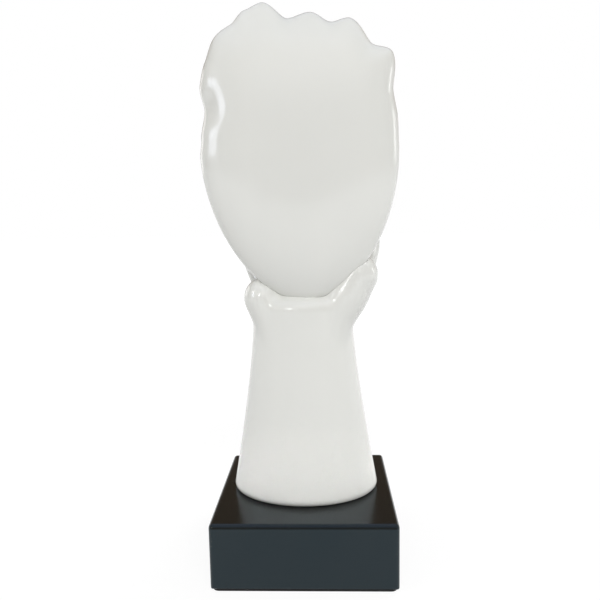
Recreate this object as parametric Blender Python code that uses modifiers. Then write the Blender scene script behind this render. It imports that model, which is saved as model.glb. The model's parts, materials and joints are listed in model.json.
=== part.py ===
"""A white cast face resting on an upright hand and forearm, on a square black plinth.

The face looks towards -Y, +Z is up, and the origin is the middle of the felt's underside.
Lengths are metres. The features of the face are drawn in plan units, and scaled to its real size.
"""

import math

import bmesh
import bpy
import numpy as np
from mathutils import Matrix, Vector

MM = 0.001

# Clearances
SEAT_GAP = 0.3 * MM
BORE_GAP = 0.3 * MM
CUT_RUNOUT = 4 * MM

# Plinth and the felt glued under it
PLINTH_WIDTH = 85 * MM
PLINTH_DEPTH = 85 * MM
PLINTH_HEIGHT = 30.3 * MM
PLINTH_ARRIS = 1.8 * MM
PLINTH_FOOT_ARRIS = 0.7 * MM
FELT_THICKNESS = 0.9 * MM
FELT_INSET = 0.8 * MM
FELT_CORNER = 3 * MM

# Forearm, from its foot on the plinth to the wrist
ARM_LENGTH = 82 * MM
FOOT_WIDTH = 73 * MM
WRIST_WIDTH = 49.6 * MM
ARM_DEPTH_SHARE = 0.78
FOOT_SETBACK = 2.2 * MM
ARM_WALL = 6 * MM
WRIST_CORE = 22 * MM
CAVITY_DOME = 9 * MM

# Plug bonded in the forearm's foot, and the screws and washers that hold it to the plinth
PLUG_HEIGHT = 16 * MM
SCREW_SPACING = 30 * MM
SCREW_LENGTH = 27 * MM
SCREW_WIDTH = 4.2 * MM
SCREW_CORE = 3.2 * MM
THREAD_LENGTH = 12 * MM
THREAD_PITCH = 1.8 * MM
SCREW_HEAD_WIDTH = 8 * MM
SCREW_HEAD_HEIGHT = 2.6 * MM
CROSS_SLOT_WIDTH = 1.1 * MM
CROSS_SLOT_LENGTH = 4.6 * MM
CROSS_SLOT_DEPTH = 1.4 * MM
WASHER_WIDTH = 12 * MM
WASHER_THICKNESS = 1 * MM
COUNTERBORE_WIDTH = 13 * MM
COUNTERBORE_DEPTH = 12 * MM

# Face casting, with its rim in one upright plane
FACE_WIDTH = 92 * MM
SKULL_HEIGHT = 60 * MM
JAW_HEIGHT = 70 * MM
FACE_DEPTH = 36 * MM
BACK_DEPTH = 13 * MM
CHIN_RISE = 13 * MM
RIM_SETBACK = 8 * MM
FACE_TILT = math.radians(3)
FACE_WALL = 8 * MM
CAVITY_FLOOR = 19 * MM

# Steel dowel bonded in the wrist and the chin
DOWEL_WIDTH = 6 * MM
DOWEL_LENGTH = 48 * MM
DOWEL_IN_FACE = 22 * MM
DOWEL_SETBACK = 3 * MM

# Hand: widths at the joints, knuckle first, and the finger sizes against the index finger
FINGER_WIDTHS = (14 * MM, 11.4 * MM, 10 * MM, 8.6 * MM)
FINGER_LIFTS = (8 * MM, 6.5 * MM, 4.5 * MM, 2.6 * MM)
FINGER_SIZES = (1.0, 1.04, 0.98, 0.84)
THUMB_WIDTHS = (18 * MM, 15 * MM, 13 * MM, 9.8 * MM)
PALM_THICKNESS = 21 * MM
PALM_SPREAD = 7.6 * MM
HEEL_RISE = 16 * MM
HEEL_DOME = 8 * MM

# Share of the heel's dome that lies below the heel's rise
DOME_SHARE_BELOW = 0.7

# Fleshy pads of the palm's heel, which run up out of the wrist: sideways as a share of the wrist's width,
# up as a share of the heel's rise, and their widths there
LITTLE_PAD = ((0.20, -1.4), (0.265, 0.1), (0.375, 0.9))
LITTLE_PAD_WIDTHS = (22 * MM, 21 * MM, 20 * MM)
THUMB_PAD = ((-0.20, -1.4), (-0.285, 0.2), (-0.42, 0.95), (-0.53, 1.55))
THUMB_PAD_WIDTHS = (22 * MM, 22 * MM, 23 * MM, 21 * MM)
PAD_SETBACK = 3 * MM
WEB_SAG = 3.2 * MM

# Places on the face where the joints lie, as shares of its half width and of its jaw height
FINGER_JOINTS = (
    ((0.03, -0.795), (0.31, -0.545), (0.42, -0.385), (0.51, -0.23)),
    ((0.18, -0.815), (0.43, -0.595), (0.55, -0.44), (0.64, -0.285)),
    ((0.33, -0.825), (0.53, -0.64), (0.635, -0.505), (0.71, -0.38)),
    ((0.47, -0.805), (0.56, -0.70), (0.62, -0.61), (0.665, -0.525)),
)
THUMB_JOINTS = ((-0.58, -0.48), (-0.56, -0.25))

# Surface density of the two castings
FACE_SEGMENTS = 150
FACE_RINGS = 140
FACE_TRIANGLES = 4600
HAND_VOXEL = 1.3 * MM
HAND_TRIANGLES = 4600

# Plan units in which the features of the face are drawn
PLAN_HALF_WIDTH = 46
PLAN_SKULL = 60
PLAN_JAW = 67
PLAN_DEPTH = 36

# Where the features lie on the plan: places across and up, and radii
EYE = (18.6, -0.8, 11, 8.6)
NOSE_TIP = (0, -23.6, 7.4, 7)
NOSE_WING = (6.8, -25.6, 4.6, 5)
NOSE_ROOT = 10
NOSE_FOOT = -31.2
MOUTH_LINE = -41.8
MOUTH_HALF_WIDTH = 12.6
CHIN_BALL = (0, -58, 11.5, 6.6)
HAIRLINE_TOP = 45
HAIRLINE_DROP = 36

# Share of the way from the front's middle to the back's middle at which the rim lies
RIM_SHARE = 0.72

# Hair waves along the rim: places in degrees round it, and how far out it stands there in plan units
HAIR_WAVES = ((0, 0), (10, -1.2), (26.5, -3.4), (37, -0.1), (47, 0.4), (58, 2.6), (65, 2.2), (72.5, 5.4),
              (79.5, 6.9), (89, -1.4), (98.5, 0.7), (108, -3.2), (116, 0.9), (128, -2.2), (138.5, 4.5),
              (153, -0.5), (166, 0.2), (180, 0.2))

# Places worked out from the sizes above
PLINTH_BOTTOM = FELT_THICKNESS + SEAT_GAP
PLINTH_TOP = PLINTH_BOTTOM + PLINTH_HEIGHT
FOOT_Z = PLINTH_TOP + SEAT_GAP
WRIST_Z = FOOT_Z + ARM_LENGTH
WRIST = Vector((0, -FOOT_SETBACK, WRIST_Z))
FACE_TURN = Matrix.Rotation(FACE_TILT, 4, "Y")
CHIN = Vector((-JAW_HEIGHT * math.sin(FACE_TILT), RIM_SETBACK, WRIST_Z + CHIN_RISE))
FACE_CENTRE = CHIN - FACE_TURN @ Vector((0, 0, -JAW_HEIGHT))
FACE_PLACE = Matrix.Translation(FACE_CENTRE) @ FACE_TURN
COUNTERBORE_TOP = PLINTH_BOTTOM + COUNTERBORE_DEPTH
PLUG_BOTTOM = FOOT_Z + SEAT_GAP


def clear_scene():
    for obj in list(bpy.data.objects):
        bpy.data.objects.remove(obj)


def new_collection(name):
    collection = bpy.data.collections.new(name)
    bpy.context.scene.collection.children.link(collection)
    return collection


clear_scene()
PARTS = new_collection("face_sculpture")
CUTTERS = new_collection("cutters")


def principled(name, colour, roughness, metallic=0.0, coat=0.0):
    material = bpy.data.materials.new(name)
    material.use_nodes = True
    shader = material.node_tree.nodes["Principled BSDF"]
    shader.inputs["Base Color"].default_value = (*colour, 1)
    shader.inputs["Roughness"].default_value = roughness
    shader.inputs["Metallic"].default_value = metallic
    shader.inputs["Coat Weight"].default_value = coat
    return material


RESIN = principled("gloss_white_resin", (0.76, 0.76, 0.73), 0.22, coat=0.5)
LACQUER = principled("black_lacquered_wood", (0.022, 0.02, 0.019), 0.3, coat=0.3)
FELT = principled("black_felt", (0.012, 0.012, 0.013), 0.95)
STEEL = principled("zinc_plated_steel", (0.6, 0.6, 0.58), 0.35, metallic=1.0)
BEECH = principled("beech", (0.52, 0.34, 0.18), 0.6)


def smooth_step(value, low, high):
    t = np.clip((value - low) / (high - low), 0, 1)
    return t * t * (3 - 2 * t)


def smooth_max(x, y, blend):
    h = np.clip(0.5 + 0.5 * (x - y) / blend, 0, 1)
    return y + (x - y) * h + blend * h * (1 - h)


def bump(a, b, at_a, at_b, width_a, width_b):
    return np.exp(-((a - at_a) / width_a) ** 2 - ((b - at_b) / width_b) ** 2)


def cap(a, b, at_a, at_b, radius_a, radius_b):
    return np.sqrt(np.clip(1 - ((a - at_a) / radius_a) ** 2 - ((b - at_b) / radius_b) ** 2, 0, 1))


def link(name, mesh, collection, material=None, location=(0, 0, 0), rotation=(0, 0, 0)):
    """Puts a mesh in the scene as a named object."""
    obj = bpy.data.objects.new(name, mesh)
    obj.location = location
    obj.rotation_euler = rotation
    collection.objects.link(obj)
    if material:
        mesh.materials.clear()
        mesh.materials.append(material)
    if collection is CUTTERS:
        obj.hide_render = True
        obj.display_type = "WIRE"
    return obj


def bm_mesh(name, bm):
    bmesh.ops.recalc_face_normals(bm, faces=bm.faces)
    mesh = bpy.data.meshes.new(name)
    bm.to_mesh(mesh)
    bm.free()
    return mesh


def box_mesh(name, size):
    bm = bmesh.new()
    bmesh.ops.create_cube(bm, size=1)
    bmesh.ops.scale(bm, vec=size, verts=bm.verts)
    return bm_mesh(name, bm)


def cylinder_mesh(name, width, bottom, top, segments=32):
    """A cylinder on the Z axis between two heights."""
    bm = bmesh.new()
    bmesh.ops.create_cone(bm, cap_ends=True, segments=segments, radius1=width / 2, radius2=width / 2,
                          depth=top - bottom)
    bmesh.ops.translate(bm, vec=(0, 0, (top + bottom) / 2), verts=bm.verts)
    return bm_mesh(name, bm)


def ellipsoid_mesh(name, radii, segments=32, rings=16):
    bm = bmesh.new()
    bmesh.ops.create_uvsphere(bm, u_segments=segments, v_segments=rings, radius=1)
    bmesh.ops.scale(bm, vec=radii, verts=bm.verts)
    return bm_mesh(name, bm)


def turned(name, profile, collection, material=None, location=(0, 0, 0), steps=48):
    """Turns a profile of radius and height pairs, listed from top to bottom, about Z."""
    mesh = bpy.data.meshes.new(name)
    mesh.from_pydata([(r, 0, z) for r, z in profile], [(i, i + 1) for i in range(len(profile) - 1)], [])
    obj = link(name, mesh, collection, material, location)
    screw = obj.modifiers.new("turn", "SCREW")
    screw.steps = steps
    screw.render_steps = steps
    screw.use_merge_vertices = True
    screw.merge_threshold = 0.00001
    screw.use_smooth_shade = False
    return obj


def bake(obj):
    """Replaces an object's mesh by its evaluated one, and drops its modifiers."""
    depsgraph = bpy.context.evaluated_depsgraph_get()
    mesh = bpy.data.meshes.new_from_object(obj.evaluated_get(depsgraph))
    obj.modifiers.clear()
    obj.data = mesh
    return obj


def cut(obj, cutter):
    boolean = obj.modifiers.new("cut_" + cutter.name, "BOOLEAN")
    boolean.operation = "DIFFERENCE"
    boolean.object = cutter


def shade(obj, angle=40):
    obj.data.shade_smooth()
    obj.data.set_sharp_from_angle(angle=math.radians(angle))


def make_felt():
    size = (PLINTH_WIDTH - 2 * FELT_INSET, PLINTH_DEPTH - 2 * FELT_INSET, FELT_THICKNESS)
    felt = link("base_felt", box_mesh("base_felt", size), PARTS, FELT, (0, 0, FELT_THICKNESS / 2))
    bm = bmesh.new()
    bm.from_mesh(felt.data)
    upright = [e for e in bm.edges if abs(e.verts[0].co.z - e.verts[1].co.z) > FELT_THICKNESS / 2]
    bmesh.ops.bevel(bm, geom=upright, offset=FELT_CORNER, segments=5, affect="EDGES", profile=0.5)
    bm.to_mesh(felt.data)
    bm.free()
    return felt


def screw_places():
    return ((-SCREW_SPACING / 2, -FOOT_SETBACK), (SCREW_SPACING / 2, -FOOT_SETBACK))


def make_plinth():
    size = (PLINTH_WIDTH, PLINTH_DEPTH, PLINTH_HEIGHT)
    middle = (0, 0, PLINTH_BOTTOM + PLINTH_HEIGHT / 2)
    plinth = link("plinth_block", box_mesh("plinth_block", size), PARTS, LACQUER, middle)
    weights = plinth.data.attributes.new("bevel_weight_edge", "FLOAT", "EDGE")
    for edge in plinth.data.edges:
        at_foot = all(plinth.data.vertices[i].co.z < 0 for i in edge.vertices)
        weights.data[edge.index].value = PLINTH_FOOT_ARRIS / PLINTH_ARRIS if at_foot else 1
    arris = plinth.modifiers.new("arris", "BEVEL")
    arris.limit_method = "WEIGHT"
    arris.width = PLINTH_ARRIS
    arris.segments = 3
    for x, y in screw_places():
        counterbore = cylinder_mesh("counterbore", COUNTERBORE_WIDTH, PLINTH_BOTTOM - CUT_RUNOUT,
                                    COUNTERBORE_TOP)
        cut(plinth, link("counterbore", counterbore, CUTTERS, location=(x, y, 0)))
        bore = cylinder_mesh("screw_bore", SCREW_WIDTH + 2 * BORE_GAP, PLINTH_BOTTOM, PLINTH_TOP + CUT_RUNOUT,
                             segments=24)
        cut(plinth, link("screw_bore", bore, CUTTERS, location=(x, y, 0)))
    bake(plinth)
    shade(plinth)
    return plinth


def make_washer(name, x, y):
    inner = SCREW_WIDTH / 2 + BORE_GAP
    outer = WASHER_WIDTH / 2
    profile = ((inner, WASHER_THICKNESS), (outer, WASHER_THICKNESS), (outer, 0), (inner, 0),
               (inner, WASHER_THICKNESS))
    place = (x, y, COUNTERBORE_TOP - SEAT_GAP - WASHER_THICKNESS)
    washer = bake(turned(name, profile, PARTS, STEEL, place, steps=32))
    shade(washer)
    return washer


def screw_profile():
    """Half outline of a screw standing on its head at height 0, from its point down to its head."""
    core, crest = SCREW_CORE / 2, SCREW_WIDTH / 2
    point = SCREW_WIDTH / 2
    profile = [(0, SCREW_LENGTH), (core, SCREW_LENGTH - point)]
    turns = int(THREAD_LENGTH / THREAD_PITCH)
    for i in range(turns):
        top = SCREW_LENGTH - point - i * THREAD_PITCH
        profile += [(crest, top - THREAD_PITCH / 2), (core, top - THREAD_PITCH)]
    thread_end = SCREW_LENGTH - point - turns * THREAD_PITCH
    head = SCREW_HEAD_WIDTH / 2
    round_over = SCREW_HEAD_HEIGHT / 3
    profile += [(crest, thread_end - THREAD_PITCH / 2), (crest, SCREW_HEAD_HEIGHT), (head, SCREW_HEAD_HEIGHT),
                (head, round_over), (head - round_over, 0), (0, 0)]
    return profile


def make_screw(name, x, y):
    head_top = COUNTERBORE_TOP - 2 * SEAT_GAP - WASHER_THICKNESS
    place = (x, y, head_top - SCREW_HEAD_HEIGHT)
    screw = bake(turned(name, screw_profile(), PARTS, STEEL, place, steps=16))
    for turn in (0, math.pi / 2):
        slot = box_mesh("cross_slot", (CROSS_SLOT_LENGTH, CROSS_SLOT_WIDTH, 2 * CROSS_SLOT_DEPTH))
        cut(screw, link("cross_slot", slot, CUTTERS, location=place, rotation=(0, 0, turn)))
    bake(screw)
    shade(screw)
    return screw


def arm_half_width(share):
    """Half the forearm's width at a share of its length up from the foot: a flare that eases into the wrist."""
    flare = max(1 - share, 0) ** 1.3
    return WRIST_WIDTH / 2 + (FOOT_WIDTH - WRIST_WIDTH) / 2 * flare


def arm_profile(inset, bottom, top, steps):
    """The forearm's half outline set in by a wall, from top to bottom, and closed on the axis."""
    heights = [top + (bottom - top) * i / steps for i in range(steps + 1)]
    profile = [(arm_half_width((z - FOOT_Z) / ARM_LENGTH) - inset, z) for z in heights]
    return [(0, top)] + profile + [(0, bottom)]


def flatten(obj):
    """Presses a turned piece to the forearm's oval section."""
    bake(obj)
    obj.data.transform(Matrix.Diagonal((1, ARM_DEPTH_SHARE, 1, 1)))
    return obj


def arm_cavity():
    """The hollow up the forearm, domed at its top end."""
    shoulder = WRIST_Z - WRIST_CORE
    radius = arm_half_width(1 - WRIST_CORE / ARM_LENGTH) - ARM_WALL
    dome = [(radius * math.sin(t), shoulder + CAVITY_DOME * math.cos(t))
            for t in (math.pi / 2 * i / 6 for i in range(6))]
    below = arm_profile(ARM_WALL, FOOT_Z - CUT_RUNOUT, shoulder, 6)[1:]
    return flatten(turned("arm_cavity", dome + below, CUTTERS, location=(0, -FOOT_SETBACK, 0)))


def make_plug():
    top = PLUG_BOTTOM + PLUG_HEIGHT
    profile = arm_profile(ARM_WALL + BORE_GAP / ARM_DEPTH_SHARE, PLUG_BOTTOM, top, 3)
    plug = flatten(turned("arm_plug", profile, PARTS, BEECH, (0, -FOOT_SETBACK, 0)))
    for x, y in screw_places():
        bore = cylinder_mesh("plug_bore", SCREW_WIDTH + 2 * BORE_GAP, PLUG_BOTTOM - CUT_RUNOUT,
                             top + CUT_RUNOUT, segments=16)
        cut(plug, link("plug_bore", bore, CUTTERS, location=(x, y, 0)))
    bake(plug)
    shade(plug)
    return plug


def make_dowel():
    bottom = CHIN.z + DOWEL_IN_FACE - DOWEL_LENGTH
    chamfer = DOWEL_WIDTH / 8
    radius = DOWEL_WIDTH / 2
    profile = ((0, DOWEL_LENGTH), (radius - chamfer, DOWEL_LENGTH), (radius, DOWEL_LENGTH - chamfer),
               (radius, chamfer), (radius - chamfer, 0), (0, 0))
    dowel = bake(turned("neck_dowel", profile, PARTS, STEEL, (CHIN.x, DOWEL_SETBACK, bottom), steps=24))
    shade(dowel)
    return dowel


def dowel_bore():
    bottom = CHIN.z + DOWEL_IN_FACE - DOWEL_LENGTH - CAVITY_DOME - WRIST_CORE
    top = CHIN.z + DOWEL_IN_FACE + CUT_RUNOUT
    bore = cylinder_mesh("dowel_bore", DOWEL_WIDTH + 2 * BORE_GAP, bottom, top, segments=24)
    return link("dowel_bore", bore, CUTTERS, location=(CHIN.x, DOWEL_SETBACK, 0))


def egg_radius(angle):
    """The rim's distance from the face's middle: a squarish arch above and an oval jaw below, in plan units."""
    across, up = np.abs(np.cos(angle)), np.abs(np.sin(angle))
    above = np.sin(angle) > 0
    height = np.where(above, PLAN_SKULL, PLAN_JAW)
    power = np.where(above, 3.0, 1.85)
    return ((across / PLAN_HALF_WIDTH) ** power + (up / height) ** power) ** (-1 / power)


def wave_rise(angle):
    """How far the hair stands out round the rim, easing from one wave to the next."""
    degrees = np.degrees(angle)
    rise = np.zeros_like(degrees)
    for (start, low), (end, high) in zip(HAIR_WAVES, HAIR_WAVES[1:]):
        between = (degrees >= start) & (degrees < end)
        rise = np.where(between, low + (high - low) * smooth_step(degrees, start, end), rise)
    return rise


def dome(share, angle):
    """Front height of the bare mask at a share of the way to the rim; the chin end is the fullest."""
    down = np.clip(-np.sin(angle), 0, 1) ** 2
    up = np.clip(np.sin(angle), 0, 1) ** 2
    power = 2.4 + 2.9 * down + 0.6 * up
    return np.sqrt(np.clip(1 - share ** power, 0, 1))


def brow(m, b):
    arch = 9.0 + 2.4 * np.cos((m - 21) * 0.075) - 0.008 * (m - 21) ** 2
    inner_corner = bump(m, b, 10, 2.5, 6, 8)
    reach = np.exp(-((m - 19.5) / 17.5) ** 4 - (np.minimum(b - 1, 0) / 12) ** 2)
    socket = smooth_step(arch - b, -1.6, 6) * reach * smooth_step(m, 0.5, 9)
    ridge = np.exp(-((b - arch - 1) / 4.5) ** 2) * smooth_step(37 - m, 0, 14) * smooth_step(m, 1, 9)
    return 1.4 * ridge + bump(m, b, 0, 12.5, 8, 6) - (5.0 + 2.2 * inner_corner) * socket


def closed_eye(m, b, floor):
    """The lidded ball in its socket, with the crease where the lids meet."""
    ball = 5.6 * cap(m, b, *EYE) - 6.9
    lid = (smooth_max(floor, ball, 2.4) - floor) * smooth_step(m, 5.5, 9.5)
    t = (m - EYE[0]) / (EYE[2] - 1.6)
    seam = EYE[1] - 4.3 + 1.9 * t * t + 0.6 * t
    on_eye = smooth_step(1.05 - np.abs(t), 0, 0.3)
    return lid + 0.7 * smooth_step(b - seam, -0.6, 0.6) * np.exp(-np.clip(b - seam, 0, 99) / 4) * on_eye


def nose(m, b):
    run = np.clip((NOSE_ROOT - b) / (NOSE_ROOT - NOSE_TIP[1]), 0, 1)
    height = 3.4 + 7.0 * run ** 1.1 - 1.0 * np.exp(-((b - 2.5) / 6) ** 2)
    flank = smooth_step(8.2 + 2.2 * run - m, 0, 6)
    bridge = height * flank * smooth_step(NOSE_ROOT + 3 - b, 0, 11) * smooth_step(b - NOSE_FOOT, 0, 6)
    tip = 12.2 * cap(m, b, *NOSE_TIP) ** 0.8
    wing = 6.6 * cap(m, b, *NOSE_WING)
    return smooth_max(bridge, smooth_max(tip, wing, 3), 3)


def mouth(m, b):
    share = m / MOUTH_HALF_WIDTH
    lips = smooth_step(1.06 - share, 0, 0.55)
    upper = 1.7 * cap(m, b, 0, MOUTH_LINE + 1.8, MOUTH_HALF_WIDTH, 2.4) * lips
    lower = 2.3 * cap(m, b, 0, MOUTH_LINE - 2.8, MOUTH_HALF_WIDTH - 1, 3.2) * lips
    crease = 0.8 * np.exp(-((b - MOUTH_LINE) / 0.9) ** 2) * smooth_step(1 - share, 0, 0.3)
    muzzle = 3.0 * bump(m, b, 0, MOUTH_LINE + 0.8, 16.5, 10.5) - 0.5 * bump(m, b, 0, MOUTH_LINE + 7, 1.6, 3)
    return muzzle + np.maximum(upper, lower) - crease


def cheeks_and_chin(m, b):
    cheek = 2.0 * bump(m, b, 28, -12, 12, 8.5) - 1.5 * bump(m, b, 31, -37, 10, 13)
    chin = 3.6 * bump(m, b, *CHIN_BALL) - 1.4 * bump(m, b, 0, MOUTH_LINE - 8, 8.5, 2.9)
    return cheek + chin


def hair(m, b, angle):
    """Volume above the hairline, with locks that run up into the waves on the rim."""
    hairline = HAIRLINE_TOP - HAIRLINE_DROP * (m / (PLAN_HALF_WIDTH - 4)) ** 2.6
    region = smooth_step(b - hairline, -1.5, 6)
    return region * (3.6 + 0.45 * wave_rise(angle))


def relief(a, b):
    """Height of the skin's features above the dome, in plan units, at a across and b up."""
    m = np.abs(a)
    floor = brow(m, b)
    skin = floor + closed_eye(m, b, floor) + cheeks_and_chin(m, b) + mouth(m, b)
    proud = nose(m, b)
    return np.where(proud > 0.02, smooth_max(skin, proud + 0.4 * np.minimum(skin, 0), 1.8), skin)


def face_scale(b):
    """Real size of one plan unit across, up and out."""
    up = np.where(b > 0, SKULL_HEIGHT / PLAN_SKULL, JAW_HEIGHT / PLAN_JAW)
    return FACE_WIDTH / 2 / PLAN_HALF_WIDTH, up, FACE_DEPTH / PLAN_DEPTH


def face_surface():
    """A sphere pulled into the mask: its upper pole becomes the middle of the front, its lower pole the back."""
    bm = bmesh.new()
    bmesh.ops.create_uvsphere(bm, u_segments=FACE_SEGMENTS, v_segments=FACE_RINGS, radius=1)
    mesh = bpy.data.meshes.new("face_casting")
    bm.to_mesh(mesh)
    bm.free()
    co = np.empty(len(mesh.vertices) * 3)
    mesh.vertices.foreach_get("co", co)
    x, y, z = co.reshape(-1, 3).T
    travel = np.arccos(np.clip(z, -1, 1)) / math.pi
    angle = np.arctan2(y, x)
    front = travel <= RIM_SHARE
    phase = np.where(front, travel / RIM_SHARE, (1 - travel) / (1 - RIM_SHARE))
    share = np.sin(math.pi / 2 * phase)
    radius = share * egg_radius(angle) + share ** 8 * wave_rise(angle)
    a, b = radius * np.cos(angle), radius * np.sin(angle)
    wide, tall, deep = face_scale(b)
    back = BACK_DEPTH * np.sqrt(np.clip(1 - share ** 3.4, 0, 1))
    out = np.where(front, -FACE_DEPTH * dome(share, angle), back)
    mesh.vertices.foreach_set("co", np.column_stack((a * wide, out, b * tall)).ravel())
    mesh.update()
    normals = np.empty(len(mesh.vertices) * 3)
    mesh.vertices.foreach_get("normal", normals)
    inside = np.where(front, 1 - smooth_step(share, 0.93, 1), 0) * deep
    bare = np.column_stack((a * wide, out - hair(np.abs(a), b, angle) * inside, b * tall))
    skin = normals.reshape(-1, 3) * (relief(a, b) * inside)[:, None]
    mesh.vertices.foreach_set("co", (bare + skin).ravel())
    mesh.update()
    return mesh


def decimate(obj, triangles):
    modifier = obj.modifiers.new("facets", "DECIMATE")
    modifier.ratio = triangles / sum(len(p.vertices) - 2 for p in obj.data.polygons)
    modifier.use_collapse_triangulate = True


def make_face():
    """The hollow face, and the seat cutter that its cheeks and chin leave in the hand."""
    face = link("face_casting", face_surface(), PARTS, RESIN)
    decimate(face, FACE_TRIANGLES)
    bake(face)
    seat = link("face_seat", face.data.copy(), CUTTERS)
    offset = seat.modifiers.new("clearance", "DISPLACE")
    offset.strength = SEAT_GAP * 1.3
    offset.mid_level = 0
    bake(seat)
    for obj in (face, seat):
        obj.matrix_world = FACE_PLACE
    cut(face, face_cavity())
    cut(face, dowel_bore())
    bake(face)
    shade(face, 60)
    return face, seat


def face_cavity():
    top = SKULL_HEIGHT - 1.5 * FACE_WALL
    bottom = CAVITY_FLOOR - JAW_HEIGHT
    front = -0.85 * (FACE_DEPTH - FACE_WALL - RIM_SETBACK)
    back = BACK_DEPTH - FACE_WALL
    radii = (FACE_WIDTH / 2 - 1.4 * FACE_WALL, (back - front) / 2, (top - bottom) / 2)
    cavity = link("face_cavity", ellipsoid_mesh("face_cavity", radii, 24, 14), CUTTERS)
    middle = Vector((0, (back + front) / 2, (top + bottom) / 2))
    cavity.matrix_world = FACE_PLACE @ Matrix.Translation(middle)
    return cavity


def on_face(across, up, lift):
    """A point over the bare mask: shares of the half width and jaw height, then a lift square to the surface."""
    share, angle = math.hypot(across, up), math.atan2(up * PLAN_JAW, across * PLAN_HALF_WIDTH)
    step = 0.01
    out = -FACE_DEPTH * dome(share, angle)
    slope = -FACE_DEPTH * (dome(min(share + step, 1), angle) - dome(share - step, angle)) / (2 * step)
    radial = Vector((across * FACE_WIDTH / 2, 0, up * JAW_HEIGHT))
    normal = radial.normalized() * slope / radial.length * share - Vector((0, 1, 0))
    return FACE_PLACE @ (radial + Vector((0, out, 0)) + normal.normalized() * lift)


def limb(points, widths):
    """A tapering round tube through the joints, with a ball at each end."""
    curve = bpy.data.curves.new("limb", "CURVE")
    curve.dimensions = "3D"
    curve.bevel_depth = 1
    curve.bevel_resolution = 5
    curve.resolution_u = 6
    curve.use_fill_caps = True
    spline = curve.splines.new("BEZIER")
    spline.bezier_points.add(len(points) - 1)
    for joint, place, width in zip(spline.bezier_points, points, widths):
        joint.co = place
        joint.radius = width / 2
        joint.handle_left_type = "AUTO"
        joint.handle_right_type = "AUTO"
    tube = bpy.data.objects.new("limb", curve)
    CUTTERS.objects.link(tube)
    mesh = bpy.data.meshes.new_from_object(tube.evaluated_get(bpy.context.evaluated_depsgraph_get()))
    bpy.data.objects.remove(tube)
    bm = bmesh.new()
    bm.from_mesh(mesh)
    bmesh.ops.remove_doubles(bm, verts=bm.verts, dist=0.00001)
    for place, width in ((points[0], widths[0]), (points[-1], widths[-1])):
        bmesh.ops.create_uvsphere(bm, u_segments=20, v_segments=12, radius=width / 2,
                                  matrix=Matrix.Translation(place))
    bm.to_mesh(mesh)
    bm.free()
    return mesh


def pad(joints, widths):
    """A fleshy pad of the palm's heel."""
    points = [WRIST + Vector((across * WRIST_WIDTH, FOOT_SETBACK + PAD_SETBACK, up * HEEL_RISE))
              for across, up in joints]
    return limb(points, widths)


def hand_meshes():
    """Overlapping fingers, palm bones, pads and thumb, before they are melted together."""
    meshes = []
    for i, (joints, size) in enumerate(zip(FINGER_JOINTS, FINGER_SIZES)):
        widths = [width * size for width in FINGER_WIDTHS]
        points = [on_face(*joint, lift * size) for joint, lift in zip(joints, FINGER_LIFTS)]
        meshes.append(limb(points, widths))
        root = WRIST + Vector(((i - 1.1) * PALM_SPREAD, -PALM_THICKNESS / 8, 0))
        middle = root.lerp(points[0], 0.5) - Vector((0, PALM_THICKNESS / 10, 0))
        meshes.append(limb((root, middle, points[0]), (PALM_THICKNESS, PALM_THICKNESS * 0.86, widths[0])))
    thumb_root = WRIST + Vector((-0.26 * WRIST_WIDTH, 0, HEEL_RISE / 4))
    knuckle = CHIN + Vector((-0.30 * FACE_WIDTH, -RIM_SETBACK - FACE_DEPTH / 3, 1.5 * HEEL_RISE))
    tips = [on_face(*joint, width * 0.36) for joint, width in zip(THUMB_JOINTS, THUMB_WIDTHS[2:])]
    meshes.append(limb((thumb_root, knuckle, *tips), THUMB_WIDTHS))
    index_knuckle = on_face(*FINGER_JOINTS[0][0], FINGER_LIFTS[0])
    near, far = WRIST.lerp(index_knuckle, 0.65), thumb_root.lerp(knuckle, 0.6)
    sag = near.lerp(far, 0.5) - Vector((0, 0, WEB_SAG))
    meshes.append(limb((near, sag, far), (THUMB_WIDTHS[1],) * 3))
    meshes += [pad(LITTLE_PAD, LITTLE_PAD_WIDTHS), pad(THUMB_PAD, THUMB_PAD_WIDTHS)]
    return meshes


def arm_surface():
    """The forearm, run on past its foot, and its wrist run up to the rounded heel under the chin."""
    shoulder = WRIST_Z + HEEL_RISE - DOME_SHARE_BELOW * HEEL_DOME
    heel = [(WRIST_WIDTH / 2 * math.sin(t), shoulder + HEEL_DOME * math.cos(t))
            for t in (math.pi / 2 * i / 10 for i in range(10))]
    profile = heel + arm_profile(0, FOOT_Z - 2 * CUT_RUNOUT, shoulder, 20)[1:]
    arm = flatten(turned("arm_surface", profile, CUTTERS, location=(0, -FOOT_SETBACK, 0)))
    arm.data.transform(arm.matrix_world)
    mesh = arm.data
    bpy.data.objects.remove(arm)
    return mesh


def make_hand(seat):
    """Forearm and hand melted into one casting, then cut to its foot, its hollow, its bore and the face's seat."""
    bm = bmesh.new()
    for mesh in (arm_surface(), *hand_meshes()):
        bm.from_mesh(mesh)
    hand = link("forearm_hand", bm_mesh("forearm_hand", bm), PARTS, RESIN)
    melt = hand.modifiers.new("melt", "REMESH")
    melt.mode = "VOXEL"
    melt.voxel_size = HAND_VOXEL
    soften = hand.modifiers.new("soften", "SMOOTH")
    soften.factor = 0.5
    soften.iterations = 15
    bake(hand)
    decimate(hand, HAND_TRIANGLES)
    bake(hand)
    under = box_mesh("under_foot", (2 * FOOT_WIDTH, 2 * FOOT_WIDTH, 4 * CUT_RUNOUT))
    cut(hand, link("under_foot", under, CUTTERS, location=(0, 0, FOOT_Z - 2 * CUT_RUNOUT)))
    cut(hand, arm_cavity())
    cut(hand, bpy.data.objects["dowel_bore"])
    cut(hand, seat)
    bake(hand)
    shade(hand, 60)
    return hand


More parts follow.
